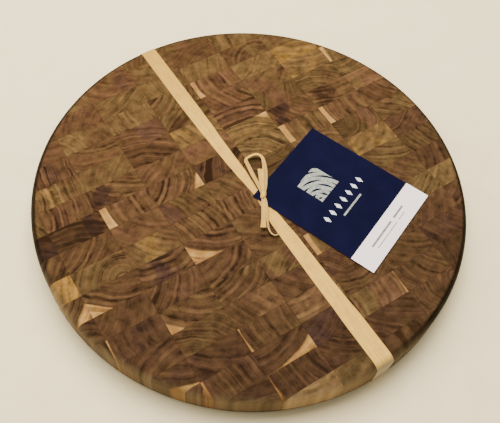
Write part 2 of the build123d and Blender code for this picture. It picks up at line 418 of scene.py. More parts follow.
    # Heartwood: the block's own tint, with stains that are more purple, red or golden, lighter
    # and darker with its rings
    local = add(tree, "Math", {0: steps}, operation="FRACT")
    aside = add(tree, "Math", {0: local, 1: patch.outputs["Red"]}, operation="SUBTRACT")
    aside = add(tree, "Math", {0: aside}, operation="ABSOLUTE")
    aside = add(tree, "Math", {0: faint, 1: 0.8, 2: aside}, operation="MULTIPLY_ADD")
    stained = {"Value": aside, "From Min": 0.52, "From Max": 0.64, "To Min": 1.0, "To Max": 0.0}
    stained = add(tree, "MapRange", stained)
    stained = {0: stained, 1: told["patch"].outputs["Alpha"]}
    stained = add(tree, "Math", stained, operation="MULTIPLY")
    stain = {"Vector": own, "Scale": STAINS_PER_MM, "Detail": 1.0, "W": 7.0}
    stain = add(tree, "TexNoise", stain, noise_dimensions="4D")
    drift = {"Value": stain, "From Min": 0.3, "From Max": 0.7, "To Min": -0.14, "To Max": 0.14}
    drift = add(tree, "MapRange", drift)
    drift = add(tree, "Math", {0: shade, 1: 0.08, 2: drift}, operation="MULTIPLY_ADD")
    hue = add(tree, "Math", {0: tint.outputs["Red"], 1: drift}, operation="ADD")
    hue = add(tree, "Mix", {0: stained, 2: hue, 3: patch.outputs["Green"]})
    tone = add(tree, "Mix", {0: stained, 2: tint.outputs["Green"], 3: patch.outputs["Blue"]})
    wood = add(tree, "ValToRGB", {0: hue})
    fill_ramp(wood, HEARTWOOD)
    light = add(tree, "Math", {0: tone, 1: 1.5, 2: 0.1}, operation="MULTIPLY_ADD")
    gain = add(tree, "Math", {0: shade, 1: 1.5, 2: 1.0}, operation="MULTIPLY_ADD")
    gain = add(tree, "Math", {0: gain, 1: light}, operation="MULTIPLY")
    gain = add(tree, "Math", {0: gain, 1: 0.22}, operation="MAXIMUM")
    wood = add(tree, "VectorMath", {0: wood, "Scale": gain}, operation="SCALE")
    # Partly painted light: the far strips warmer and the near ones duller and bluer, for the light
    # that falls off towards the near side, and partly the timber's own tone
    far_tone_and_light = (0.93 + 0.09 * far, 1.04 + 0.01 * far, 1.30 - 0.14 * far)
    wood = add(tree, "VectorMath", {0: wood, 1: far_tone_and_light}, operation="MULTIPLY")

    # Sapwood past the heartwood's edge, and the black mineral streaks that follow the rings
    sap_edge = add(tree, "Math", {0: tint.outputs["Blue"], 1: SAP_REACH}, operation="MULTIPLY")
    past = {0: wobble, 1: (0.35, 0.35, 0.35), 2: from_heart}
    past = add(tree, "VectorMath", past, operation="MULTIPLY_ADD")
    past = add(tree, "VectorMath", {0: past}, operation="LENGTH").outputs["Value"]
    past = add(tree, "Math", {0: past, 1: sap_edge}, operation="SUBTRACT")
    past = {"Value": past, "From Min": -0.6, "From Max": 1.0}
    past = add(tree, "MapRange", past, interpolation_type="SMOOTHSTEP")
    pale = add(tree, "ValToRGB", {0: stain})
    fill_ramp(pale, SAPWOOD)
    pale_gain = add(tree, "Math", {0: shade, 1: 0.8, 2: 0.8}, operation="MULTIPLY_ADD")
    pale = add(tree, "VectorMath", {0: pale, "Scale": pale_gain}, operation="SCALE")
    # Sapwood drawn brighter on the far strips, partly painted light for the brighter far side
    pale = add(tree, "VectorMath", {0: pale, "Scale": 0.75 + 0.48 * far}, operation="SCALE")
    wood = add(tree, "Mix", {0: past, 6: wood, 7: pale}, data_type="RGBA")
    veins = {"W": turns, "Scale": VEINS_PER_YEAR, "Detail": 1.0}
    veins = add(tree, "TexNoise", veins, noise_dimensions="1D")
    veins = {"Value": veins, "From Min": 0.56, "From Max": 0.62}
    veins = add(tree, "MapRange", veins, interpolation_type="SMOOTHSTEP")
    veins = add(tree, "Math", {0: veins, 1: streak}, operation="MULTIPLY")
    wood = add(tree, "Mix", {0: veins, 6: wood, 7: linear(NEAR_BLACK)}, data_type="RGBA")

    # Glue lines between the blocks
    across = add(tree, "Math", {0: split.outputs["Y"], 1: BLOCK_W}, operation="DIVIDE")
    from_lines = []
    for count, size in ((steps, BLOCK_L), (across, BLOCK_W)):
        before = add(tree, "Math", {0: count, 1: 1.0}, operation="PINGPONG")
        after = add(tree, "Math", {0: 1.0, 1: before}, operation="SUBTRACT")
        nearest = add(tree, "Math", {0: before, 1: after}, operation="MINIMUM")
        from_lines.append(add(tree, "Math", {0: nearest, 1: size}, operation="MULTIPLY"))
    glue = add(tree, "Math", {0: from_lines[0], 1: from_lines[1]}, operation="MINIMUM")
    glue = {"Value": glue, "From Min": 0.0, "From Max": GLUE_LINE, "To Min": 0.45, "To Max": 0.0}
    glue = add(tree, "MapRange", glue)
    wood = add(tree, "Mix", {0: glue, 6: wood, 7: linear(NEAR_BLACK)}, data_type="RGBA")

    # The rim is side grain, straight golden fibres. Painted shade darkens it along the lower edge,
    # which
    #     stands on the table, and darkens the rounded edge and the upright rim, apart from the side
    #     that faces the light.
    facing = add(tree, "NewGeometry").outputs["True Normal"]
    outward = add(tree, "VectorMath", {0: facing, 1: (1, 1, 0)}, operation="MULTIPLY")
    outward = add(tree, "VectorMath", {0: outward}, operation="NORMALIZE")
    lit_side = add(tree, "VectorMath", {0: outward, 1: LIT_RIM_SIDE}, operation="DOT_PRODUCT")
    lit_side = lit_side.outputs["Value"]
    level = levelness(tree)
    side = {"Value": level, "From Min": 0.45, "From Max": 0.97, "To Min": 0.65, "To Max": 0.0}
    side = add(tree, "MapRange", side)
    heartwood = add(tree, "Math", {0: past, 1: -0.6, 2: 1.0}, operation="MULTIPLY_ADD")
    side = add(tree, "Math", {0: side, 1: heartwood}, operation="MULTIPLY")
    fibre = add(tree, "MapRange", {"Value": shade, "From Min": -0.5, "From Max": 0.5})
    fibre = add(tree, "Mix", {0: fibre, 6: linear("#5f4a30"), 7: linear("#98815e")}, data_type="RGBA")
    own_tone = {0: tint.outputs["Green"], 1: 1.6, 2: 0.31}
    own_tone = add(tree, "Math", own_tone, operation="MULTIPLY_ADD")
    fibre = add(tree, "VectorMath", {0: fibre, "Scale": own_tone}, operation="SCALE")
    wood = add(tree, "Mix", {0: side, 6: wood, 7: fibre}, data_type="RGBA")
    # Painted shade on the rounded edge and the upright rim, left out on the side that faces the light
    painted_rim_shade = {"Value": level, "From Min": 0.91, "From Max": 0.99, "To Min": 1.0, "To Max": 0.0}
    painted_rim_shade = add(tree, "MapRange", painted_rim_shade)
    upright = {"Value": level, "From Min": 0.02, "From Max": 0.25, "To Min": 0.62, "To Max": 0.86}
    upright = add(tree, "MapRange", upright)
    painted_rim_shade = add(tree, "Math", {0: painted_rim_shade, 1: upright}, operation="MULTIPLY")
    lit_side = {"Value": lit_side, "From Min": 0.5, "From Max": 0.8, "To Min": 1.0, "To Max": 0.0}
    lit_side = add(tree, "MapRange", lit_side)
    painted_rim_shade = add(tree, "Math", {0: painted_rim_shade, 1: lit_side}, operation="MULTIPLY")
    rim_unshaded = add(tree, "Math", {0: 1.0, 1: painted_rim_shade}, operation="SUBTRACT")
    # Painted shade along the lower edge, for the shadow where the board stands on the table
    low = split.outputs["Z"]
    low = {"Value": low, "From Min": 4.0, "From Max": 10.0, "To Min": 0.25, "To Max": 1.0}
    low = add(tree, "MapRange", low)
    low = add(tree, "Math", {0: low, 1: rim_unshaded}, operation="MULTIPLY")
    wood = add(tree, "VectorMath", {0: wood, "Scale": low}, operation="SCALE")

    # The oil dries to a low, uneven sheen, duller over the pores, which the sanding left open
    rough = {"Value": pores, "From Min": 0.3, "From Max": 0.7, "To Min": 0.52, "To Max": 0.68}
    rough = add(tree, "MapRange", rough)
    bump = add(tree, "Bump", {"Strength": 0.25, "Distance": 0.15 * MM, "Height": shade})
    fill(tree, shader, {"Base Color": wood, "Roughness": rough, "Normal": bump})
    fill(tree, shader, {"IOR": 1.5, "Specular IOR Level": 0.05})
    return made


draw = random.Random(DRAW_SEED)
for side, direction in (("near", -1), ("far", 1)):
    for number in range(1, ROWS_EACH_SIDE + 1):
        strip = f"{side}_row_{number:02d}"
        centre_y = direction * (ROWS_EACH_SIDE - number + 0.5) * BLOCK_W
        far = 0.5 + centre_y / (2 * BOARD_REACH)
        blocks = [chance_block(draw, far) for _ in range(COLUMNS)]
        for place, seen in NOTABLE.get(strip, {}).items():
            blocks[place] = seen
        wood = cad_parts[strip]
        wood.data.materials.clear()
        wood.data.materials.append(oiled_end_grain(strip, blocks, centre_y, far))

# The ribbon. A flat natural cotton tape goes once round the board, over the top, down the far
# edge, underneath and up the near edge, drawn tight by the knot, which gathers it into pleats.
TAPE_T = 0.3
TAPE_X = -0.8  # where the tape crosses the board's middle
TAPE_TURN = math.radians(1.0)
TAPE_THREAD = 0.9  # how wide its 0.4 mm threads are drawn, so that they show
PATCHES_PER_MM = 0.12  # cotton that is a shade warmer or paler, 8 mm across
SPECKS_PER_MM = 0.9  # slubs in the yarn, 1 mm across
LIE = 0.03  # the tape's inner face above what it lies on
RIM_GAP = 0.1  # and how much further it stands off the board's rim
KNOT_X = 1.8
KNOT_Y = -14.4
GATHER_L = 44.0
PLEAT_H = 0.22
PLEATS = 5
PLEAT_DRIFT = 0.9  # how far the pleats run to and fro along the tape, and how slowly
PLEAT_DRIFT_L = 17
LEAST_PLEAT = 0.15  # the share of a pleat that is left where the tape lies flat
PLEAT_FLOOR = 0.04
RIM_AT = 172  # the distance along the tape at which it reaches the rim
# Drawn tight, the tape rucks up a little and lies narrower than it is flat. Its width and how
# far its middle lies to one side, by the distance along it from the board's middle.
LAID = [
    (-172, 15.0, 0.0), (-140, 15.0, -0.1), (-120, 13.7, -0.4), (-100, 13.1, -0.6), (-60, 12.1, -0.6),
    (-40, 10.6, -0.9), (-26, 8.6, -0.8), (-14.4, 5.6, -0.4), (-7.4, 5.2, -0.3), (4, 6.9, -0.3),
    (16, 9.0, -0.3), (30, 10.0, -0.7), (55, 11.2, -1.0), (68, 12.6, -1.0), (105, 13.5, -1.0),
    (172, 13.4, -0.8),
]
THREADS = 20
TOP_ROWS = 60
CORNER_ROWS = 8
SIDE_ROWS = 6
UNDER_ROWS = 40
rows_low, rows_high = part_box("near_row_09")
BOARD_R = (cad_box[1][0] - cad_box[0][0]) / 2 / MM
TOP_Z = rows_high.z / MM
BOTTOM_Z = rows_low.z / MM
EDGE_R = 6.0


def new_piece(name, corners, faces):
    """A piece of its own from its corners, in metres, and its faces."""
    mesh = bpy.data.meshes.new(name)
    mesh.from_pydata(corners, [], faces)
    mesh.validate()
    piece = bpy.data.objects.new(name, mesh)
    bpy.context.scene.collection.objects.link(piece)
    return piece


def tape(name, stations, thickness, closed=False):
    """A strip of tape through stations, each a row of points across it, in mm. Its thickness is
    laid on the side that along cross across points to."""
    n, m = len(stations), len(stations[0])
    outer, inner = [], []
    for i in range(n):
        before = stations[(i - 1) % n if closed else max(i - 1, 0)]
        after = stations[(i + 1) % n if closed else min(i + 1, n - 1)]
        for j in range(m):
            across = stations[i][min(j + 1, m - 1)] - stations[i][max(j - 1, 0)]
            normal = (after[j] - before[j]).cross(across).normalized()
            inner.append(stations[i][j])
            outer.append(stations[i][j] + normal * thickness)
    turns = n if closed else n - 1
    faces = []
    for i in range(turns):
        a, b = i * m, ((i + 1) % n) * m
        for j in range(m - 1):
            faces.append((a + j, b + j, b + j + 1, a + j + 1))
            faces.append(tuple(n * m + k for k in (a + j + 1, b + j + 1, b + j, a + j)))
        for j in (0, m - 1):
            rim = (a + j, n * m + a + j, n * m + b + j, b + j)
            faces.append(rim if j == 0 else rim[::-1])
    if not closed:
        for i in (0, n - 1):
            for j in range(m - 1):
                end = (i * m + j, i * m + j + 1, n * m + i * m + j + 1, n * m + i * m + j)
                faces.append(end if i == 0 else end[::-1])
    piece = new_piece(name, [p * MM for p in outer + inner], faces)
    piece.data.shade_smooth()
    return piece


def natural_cotton(name, thread, painted_shade_tint):
    """Undyed cotton tape, woven close and calendered flat: a warm cream with a soft sheen, fine
    lengthwise threads and faint uneven patches, a little yellowed towards the far end, and given
    painted shade, in the tint given last, where it tilts away from level, as where it turns over an
    edge. Its threads are drawn thread mm wide."""
    made, tree, shader, place = blank_finish(name)
    long = add(tree, "VectorMath", {0: place, 1: (1 / thread, 0.05, 0.05)}, operation="MULTIPLY")
    threads = {"Vector": long, "Scale": 1.0, "Detail": 3.0, "Roughness": 0.6}
    threads = add(tree, "TexNoise", threads)
    patches = {"Vector": place, "Scale": PATCHES_PER_MM, "Detail": 3.0, "Roughness": 0.6}
    patches = add(tree, "TexNoise", patches)
    specks = {"Vector": place, "Scale": SPECKS_PER_MM, "Detail": 2.0, "Roughness": 0.7}
    specks = add(tree, "TexNoise", specks)
    mixed = add(tree, "Math", {0: threads, 1: 0.5}, operation="MULTIPLY")
    mixed = add(tree, "Math", {0: patches, 1: 0.3, 2: mixed}, operation="MULTIPLY_ADD")
    mixed = add(tree, "Math", {0: specks, 1: 0.2, 2: mixed}, operation="MULTIPLY_ADD")
    colour = add(tree, "ValToRGB", {0: mixed})
    fill_ramp(colour, [(0.34, "#b8903f"), (0.5, "#cea248"), (0.66, "#e0b453")])
    # Painted shade: darker where the tape tilts away from level, over the rim and on the folds and
    # edges of the bow's strips
    painted_tilt_shade = levelness(tree)
    painted_tilt_shade = {"Value": painted_tilt_shade, "From Min": 0.45, "From Max": 0.98, "To Min": 1.0, "To Max": 0.0}
    painted_tilt_shade = add(tree, "MapRange", painted_tilt_shade)
    painted_tilt_shade = add(tree, "Mix", {0: painted_tilt_shade, 6: (1, 1, 1, 1), 7: painted_shade_tint}, data_type="RGBA")
    colour = add(tree, "VectorMath", {0: colour, 1: painted_tilt_shade}, operation="MULTIPLY")
    length = add(tree, "SeparateXYZ", {0: place}).outputs["Y"]
    aged = add(tree, "MapRange", {"Value": length, "From Min": 40.0, "From Max": 160.0})
    aged = add(tree, "Mix", {0: aged, 6: (1, 1, 1, 1), 7: (0.78, 0.74, 0.62, 1)}, data_type="RGBA")
    colour = add(tree, "VectorMath", {0: colour, 1: aged}, operation="MULTIPLY")
    bump = add(tree, "Bump", {"Strength": 0.35, "Distance": 0.12 * MM, "Height": mixed})
    fill(tree, shader, {"Base Color": colour, "Roughness": 0.62, "Normal": bump})
    fill(tree, shader, {"Sheen Weight": 0.25, "Sheen Roughness": 0.4})
    return made


def on_tape(x, y, z):
    """A point given across and along the tape, as a point of the part's frame."""
    turned = Matrix.Rotation(TAPE_TURN, 3, "Z") @ Vector((x, y, 0))
    return Vector((turned.x + TAPE_X, turned.y, z))


def smooth(t):
    """Eases 0 to 1."""
    t = min(max(t, 0.0), 1.0)
    return t * t * (3 - 2 * t)


def laid(y):
    """The tape's width, and the offset of its middle, at a distance along the board."""
    y = min(max(y, LAID[0][0]), LAID[-1][0])
    for (y0, w0, c0), (y1, w1, c1) in zip(LAID, LAID[1:]):
        if y <= y1:
            t = smooth((y - y0) / (y1 - y0))
            return w0 + (w1 - w0) * t, c0 + (c1 - c0) * t


def rim_y(x, rho, side):
    """Where the tape's thread at x meets the circle of radius rho, on the far (1) or near side."""
    middle = Matrix.Rotation(-TAPE_TURN, 3, "Z") @ Vector((TAPE_X, 0, 0))
    return side * math.sqrt(rho**2 - (x + middle.x) ** 2) - middle.y


tape_r = BOARD_R + LIE + RIM_GAP
threads_across = [j / THREADS - 0.5 for j in range(THREADS + 1)]


def top_row(t, side):
    """One row across the tape on the top of the board, t from the knot (0) to the rim (1)."""
    row = []
    rim_w, rim_middle = laid(side * RIM_AT)
    for share in threads_across:
        rim = rim_y(share * rim_w + rim_middle, tape_r - EDGE_R, side)
        y = KNOT_Y + (rim - KNOT_Y) * t
        width, middle = laid(y)
        flat = (1 - LEAST_PLEAT) * smooth(abs(y - KNOT_Y) / GATHER_L)
        drift = PLEAT_DRIFT * math.sin(y / PLEAT_DRIFT_L)
        fold = abs(math.sin(math.pi * PLEATS * (share + 0.5) + drift))
        z = TOP_Z + LIE + PLEAT_H * (1 - flat) * fold + PLEAT_FLOOR
        row.append(on_tape(share * width + middle, y, z))
    return row


def corner_row(turn, side, top):
    """One row across the tape where it turns over the board's rounded edge."""
    row = []
    width, middle = laid(side * RIM_AT)
    for share in threads_across:
        rho = tape_r - EDGE_R + EDGE_R * math.sin(turn)
        drop = EDGE_R * (1 - math.cos(turn))
        z = TOP_Z + LIE - drop if top else BOTTOM_Z - LIE + drop
        x = share * width + middle
        row.append(on_tape(x, rim_y(x, rho, side), z))
    return row


def side_row(t, side):
    """One row across the tape on the upright rim of the board."""
    high, low = TOP_Z - EDGE_R, BOTTOM_Z + EDGE_R
    z = high + (low - high) * t
    width, middle = laid(side * RIM_AT)
    places = [s * width + middle for s in threads_across]
    return [on_tape(x, rim_y(x, tape_r, side), z) for x in places]


def under_row(t):
    """One row across the tape under the board, from the far rim (0) to the near one (1)."""
    row = []
    far_w, far_middle = laid(RIM_AT)
    near_w, near_middle = laid(-RIM_AT)
    width = far_w + (near_w - far_w) * t
    middle = far_middle + (near_middle - far_middle) * t
    for share in threads_across:
        x = share * width + middle
        far = rim_y(share * far_w + far_middle, tape_r - EDGE_R, 1)
        near = rim_y(share * near_w + near_middle, tape_r - EDGE_R, -1)
        row.append(on_tape(x, far + (near - far) * t, BOTTOM_Z - LIE))
    return row


# From the knot over the far rim, underneath and back over the near rim to the knot. The rows on
# the top lie closer together towards the knot, where the pleats are.
quarter = [math.pi / 2 * i / CORNER_ROWS for i in range(1, CORNER_ROWS + 1)]
band_rows = [top_row((i / TOP_ROWS) ** 1.5, 1) for i in range(TOP_ROWS + 1)]
band_rows += [corner_row(turn, 1, True) for turn in quarter]
band_rows += [side_row(i / SIDE_ROWS, 1) for i in range(1, SIDE_ROWS + 1)]
band_rows += [corner_row(turn, 1, False) for turn in reversed(quarter[:-1])]
band_rows += [under_row(i / UNDER_ROWS) for i in range(UNDER_ROWS + 1)]
band_rows += [corner_row(turn, -1, False) for turn in quarter]
band_rows += [side_row(1 - i / SIDE_ROWS, -1) for i in range(1, SIDE_ROWS + 1)]
band_rows += [corner_row(turn, -1, True) for turn in reversed(quarter[:-1])]
band_rows += [top_row((1 - i / TOP_ROWS) ** 1.5, -1) for i in range(TOP_ROWS)]
ribbon = tape("ribbon", [row[::-1] for row in band_rows], TAPE_T)
# Painted shade over the rim: darker, and bluer so that the tape still reads as cream there
tape_cotton = natural_cotton("natural_cotton_tape", TAPE_THREAD, (0.44, 0.54, 1.28, 1))
ribbon.data.materials.append(tape_cotton)
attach(ribbon, "board")
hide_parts("ribbon_band")

# The knot. The tape's two ends come up through the hole in the hang tag, and one is wrapped
# round the other and drawn tight, so the knot is a narrow waist of creased cotton.
CARD_TOP_Z = TOP_Z + 1.2
KNOT_Z = 2.05  # the knot's middle above the card
BOW_TURN = math.radians(-34.0)
KNOT_HALF_W = 1.95
KNOT_HALF_H = 1.6
KNOT_HALF_L = 3.3
KNOT_CREASE = 0.05
KNOT_CREASES = 8
KNOT_CREASE_SLANT = 2.2
KNOT_END_LOSS = 0.6  # the share of its girth that the wrap loses towards either end
KNOT_SKEW_X = 0.25
KNOT_SKEW_Y = 0.5
KNOT_THREADS = 12
KNOT_ROWS = 48
BOW_THREAD = 0.6
# Painted shade on the tilted folds and edges of the bow's strips, which sets them apart
bow_cotton = natural_cotton("folded_cotton_tape", BOW_THREAD, (0.78, 0.83, 1.20, 1))


def on_bow(x, y, z):
    """A point given across and along the bow and above the card, in the part's frame."""
    turned = Matrix.Rotation(BOW_TURN, 3, "Z") @ Vector((x, y, 0))
    return Vector((turned.x + KNOT_X, turned.y + KNOT_Y, CARD_TOP_Z + z))


def knot_row(turn):
    """One row along the bow of the wrap that closes the knot, at an angle round it."""
    row = []
    for j in range(KNOT_THREADS + 1):
        share = 2 * j / KNOT_THREADS - 1
        crease = KNOT_CREASE * math.cos(KNOT_CREASES * turn + KNOT_CREASE_SLANT * share)
        pull = 1 - KNOT_END_LOSS * share**4 + crease
        x = KNOT_HALF_W * pull * math.cos(turn) + KNOT_SKEW_X * share
        z = KNOT_HALF_H * pull * math.sin(turn)
        y = KNOT_HALF_L * share + KNOT_SKEW_Y * math.cos(turn)
        row.append(on_bow(x, y, z + KNOT_Z))
    return row


turns_round = [2 * math.pi * i / KNOT_ROWS for i in range(KNOT_ROWS)]
knot = tape("knot", [knot_row(turn)[::-1] for turn in turns_round], TAPE_T, closed=True)
knot.data.materials.append(bow_cotton)
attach(knot, "board")
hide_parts("ribbon_knot")

# The loop of the bow. The tape, folded to a narrow strip, leaves the knot, turns over on its
# edge at the far end and comes back flat beside itself, so it stands open as a thin eye.
FOLD_H = 0.42  # how far the folds stand off the middle of the strip


def folded_tape(name, line, folds=0, rows=48, across=13, thickness=0.45):
    """A folded strip of tape along a line of given points, which a smooth curve goes through.
    Each point gives its place across, along and above, then the strip's width and its tilt in
    degrees about its own line."""
    values = []
    last = len(line) - 1
    for i in range(rows + 1):
        t = i / rows * last
        k = min(int(t), last - 1)
        f = t - k
        around = [line[min(max(k + step, 0), last)] for step in (-1, 0, 1, 2)]
        value = []
        for a, b, c, d in zip(*around):
            bend = 2 * a - 5 * b + 4 * c - d
            twist = 3 * b - a - 3 * c + d
            value.append(0.5 * (2 * b + (c - a) * f + bend * f * f + twist * f**3))
        values.append(value)
    stations = []
    for i, (x, y, z, width, tilt) in enumerate(values):
        before, after = values[max(i - 1, 0)], values[min(i + 1, rows)]
        ahead = Vector([after[k] - before[k] for k in range(3)]).normalized()
        level = ahead.cross(Vector((0, 0, 1))).normalized()
        rise = level.cross(ahead)
        angle = math.radians(tilt)
        wide = level * math.cos(angle) + rise * math.sin(angle)
        off = ahead.cross(wide)
        row = []
        for j in range(across):
            share = j / (across - 1) - 0.5
            crease = FOLD_H * math.cos(2 * math.pi * folds * share) if folds else 0.0
            point = Vector((x, y, z)) + wide * width * share + off * crease
            row.append(on_bow(*point))
        stations.append(row)
    made = tape(name, stations, thickness)
    made.data.materials.append(bow_cotton)
    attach(made, "board")
    return made


loop = folded_tape(
    "bow_open_loop",
    [
        (-0.6, 0.5, 1.6, 2.2, 0),
        (-1.9, 4.5, 1.9, 2.9, 5),
        (-4.3, 9.8, 1.6, 3.2, 10),
        (-8.9, 18.8, 1.6, 3.4, 12),
        (-13.3, 28.0, 1.9, 3.4, 16),
        (-15.6, 32.6, 2.2, 3.2, 26),
        (-15.4, 34.9, 2.6, 2.9, 40),
        (-13.4, 36.7, 2.9, 3.2, 40),
        (-10.7, 38.6, 3.0, 3.5, 38),
        (-7.3, 40.0, 3.0, 3.6, 36),
        (-3.7, 39.2, 2.9, 3.6, 34),
        (-1.3, 36.3, 2.6, 3.6, 26),
        (-0.2, 32.0, 2.3, 3.9, 18),
        (0.9, 24.0, 1.8, 4.3, 10),
        (1.2, 12.0, 1.8, 3.9, 8),
        (0.9, 5.0, 2.1, 3.0, 4),
        (0.5, 0.5, 2.1, 2.0, 0),
    ],
    folds=2,
    rows=110,
)
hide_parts("bow_loop")

# The short end inside the loop. It is the same cotton tape, folded lengthwise and cut square,
# and it lies on the root of the loop's right arm, held by the knot alone.
upper_tail = folded_tape(
    "bow_upper_end",
    [
        (-0.2, 0.5, 2.8, 2.2, 0),
        (-0.7, 5.0, 3.1, 3.4, 4),
        (-1.6, 13.0, 2.9, 4.7, 6),
        (-2.6, 24.8, 3.4, 6.0, 3),
    ],
    folds=2,
)
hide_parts("bow_upper_tail")

# The end that leaves the knot the other way. It is the same cotton tape, folded lengthwise by
# the pull of the knot, and it opens out again at its square cut.
lower_tail = folded_tape(
    "bow_lower_end",
    [
        (0.0, -0.5, 2.3, 2.7, 0),
        (0.2, -5.0, 2.4, 3.6, -4),
        (0.5, -13.0, 2.1, 3.9, -8),
        (0.8, -22.0, 2.2, 4.1, -6),
        (0.8, -27.0, 2.5, 4.3, -3),
        (0.8, -30.6, 2.8, 4.9, 0),
    ],
    folds=2,
)
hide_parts("bow_lower_tail")

# The thin end beside it. It is the same cotton tape, rolled up tight by the knot, and it curls
# round to a hook that ends over the edge of the ribbon.
curl = folded_tape(
    "bow_curled_end",
    [
        (1.0, -1.0, 2.0, 1.7, 20),
        (2.8, -8.0, 1.9, 2.0, 25),
        (3.6, -18.0, 1.8, 2.0, 30),
        (4.2, -25.0, 1.8, 1.9, 35),
        (5.3, -31.0, 1.8, 1.9, 40),
        (7.6, -35.1, 1.8, 1.8, 40),
        (10.6, -36.3, 1.8, 1.6, 40),
        (13.5, -34.6, 1.8, 1.1, 40),
    ],
    rows=60,
    across=5,
    thickness=0.35,
)
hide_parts("bow_curl")

# The hang tag. A stiff card, printed dark blue all over and given a matt film, hangs from the
# ribbon by a hole in its corner, and its lower end carries a white paper label.
CARD_TURN = math.radians(22.2)
LABEL_TOP_Z = CARD_TOP_Z + 0.15
FIBRES_PER_MM = 1.6  # the board's fibre, in tufts of 0.6 mm
CLOUDS_PER_MM = 0.05  # ink that took a shade deeper, 20 mm across


def coated_card(name, colour, fleck, roughness, core):
    """Coated board: even ink or white paper under a matt film, with a little fibre in it, and
    at the cut edge a pale core."""
    made, tree, shader, place = blank_finish(name)
    fibre = {"Vector": place, "Scale": FIBRES_PER_MM, "Detail": 3.0, "Roughness": 0.7}
    fibre = add(tree, "TexNoise", fibre)
    cloud = {"Vector": place, "Scale": CLOUDS_PER_MM, "Detail": 2.0, "Roughness": 0.5}
    cloud = add(tree, "TexNoise", cloud)
    both = add(tree, "Math", {0: fibre, 1: 0.5}, operation="MULTIPLY")
    both = add(tree, "Math", {0: cloud, 1: 0.5, 2: both}, operation="MULTIPLY_ADD")
    ink = add(tree, "ValToRGB", {0: both})
    fill_ramp(ink, [(0.35, colour), (0.65, fleck)])
    cut = add(tree, "Math", {0: levelness(tree), 1: 0.5}, operation="LESS_THAN")
    ink = add(tree, "Mix", {0: cut, 6: ink, 7: linear(core)}, data_type="RGBA")
    bump = add(tree, "Bump", {"Strength": 0.15, "Distance": 0.03 * MM, "Height": fibre})
    fill(tree, shader, {"Base Color": ink, "Roughness": roughness, "Normal": bump})
    fill(tree, shader, {"Specular IOR Level": 0.05})
    return made


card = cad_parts["tag_card"]
card.data.materials.clear()
card.data.materials.append(coated_card("navy_matt_card", "#0b0b20", "#0f102a", 0.55, "#34343f"))
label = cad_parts["tag_label"]
label.data.materials.clear()
label.data.materials.append(coated_card("white_label_paper", "#ecdedb", "#f4e7e5", 0.7, "#e9ded4"))


# The print on the tag, stamped into the card with hot foil: a plain square of silver with the
# rings of an end-grain block left open in it, and a row of lozenges with a fine rule below. The
# label's two lines are grey rules, printed on the paper with ink.
FOIL_T = 0.04  # real foil is 0.01 mm thick, drawn thicker so that it clears the card
PRINT_Z = 0.01
FLECKS_PER_MM = 0.5  # the board's dips, 2 mm across, where less of it took


def pressed(name, sheets, low_z, material):
    """Flat print lying on the card: each of sheets is a row of pairs of points, in the card's
    own mm, that a thin layer is drawn between."""
    corners, faces = [], []
    for pairs in sheets:
        first = len(corners)
        for pair in pairs:
            for z in (low_z, low_z + FOIL_T):
                for x, y in pair:
                    spot = Matrix.Rotation(CARD_TURN, 3, "Z") @ Vector((x, y, 0))
                    corners.append(Vector((spot.x + KNOT_X, spot.y + KNOT_Y, z)) * MM)
        for i in range(len(pairs) - 1):
            a, b = first + 4 * i, first + 4 * (i + 1)
            faces += [(a + 2, b + 2, b + 3, a + 3), (a, a + 1, b + 1, b)]
            faces += [(a, b, b + 2, a + 2), (a + 1, a + 3, b + 3, b + 1)]
        a, b = first, first + 4 * (len(pairs) - 1)
        faces += [(a, a + 2, a + 3, a + 1), (b, b + 1, b + 3, b + 2)]
    piece = new_piece(name, corners, faces)
    piece.data.materials.append(material)
    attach(piece, "hang_tag")
    return piece


def stamped(name, dark, light, metallic, roughness):
    """Print or foil stamped into the card: its colour breaks up a little where the board's
    surface is uneven."""
    made, tree, shader, place = blank_finish(name)
    worn = {"Vector": place, "Scale": FLECKS_PER_MM, "Detail": 3.0, "Roughness": 0.7}
    worn = add(tree, "TexNoise", worn)
    cover = add(tree, "ValToRGB", {0: worn})
    fill_ramp(cover, [(0.35, dark), (0.6, light)])
    bump = add(tree, "Bump", {"Strength": 0.2, "Distance": 0.03 * MM, "Height": worn})
    fill(tree, shader, {"Base Color": cover, "Normal": bump})
    fill(tree, shader, {"Metallic": metallic, "Roughness": roughness})
    return made


def rule(start, end, y, half_t):
    """A straight rule, by where it starts and ends, its height and half its thickness."""
    return [[(end, y - half_t), (end, y + half_t)], [(start, y - half_t), (start, y + half_t)]]


# The foil square, drawn ring by ring round one of its corners
SQUARE = 25.3
SQUARE_CORNER = (25.1, -41.2)
RING_STEP = 4.3
RING_GAP = 0.8
RING_WAVE = 0.5  # how far a ring bends to and fro, how often, and its start on the next ring
RING_BENDS = 5
RING_SHIFT = 0.7
RING_POINTS = 36
LEAST_FOIL = 0.05
silver = stamped("matt_silver_foil", "#868c86", "#b3b6ab", 0.35, 0.45)
arcs = []
ring_r = 0.0
while ring_r < SQUARE * math.sqrt(2):
    pairs = []
    for i in range(RING_POINTS + 1):
        angle = math.pi / 2 * i / RING_POINTS
        reach = SQUARE / max(math.cos(angle), math.sin(angle))
        wave = RING_WAVE * math.sin(RING_BENDS * angle + RING_SHIFT * ring_r)
        inner = max(ring_r + wave, 0.0) if ring_r else 0.0
        outer = min(ring_r + RING_STEP - RING_GAP + wave, reach)
        if inner < reach - LEAST_FOIL:
            pair = []
            for r in (outer, inner):
                x = SQUARE_CORNER[0] + r * math.cos(angle)
                y = SQUARE_CORNER[1] + r * math.sin(angle)
                pair.append((x, y))
            pairs.append(pair)
        else:
            arcs.append(pairs)
            pairs = []
    arcs.append(pairs)
    ring_r += RING_STEP
arcs = [pairs for pairs in arcs if len(pairs) > 1]
pressed("foil_square", arcs, CARD_TOP_Z + PRINT_Z, silver)

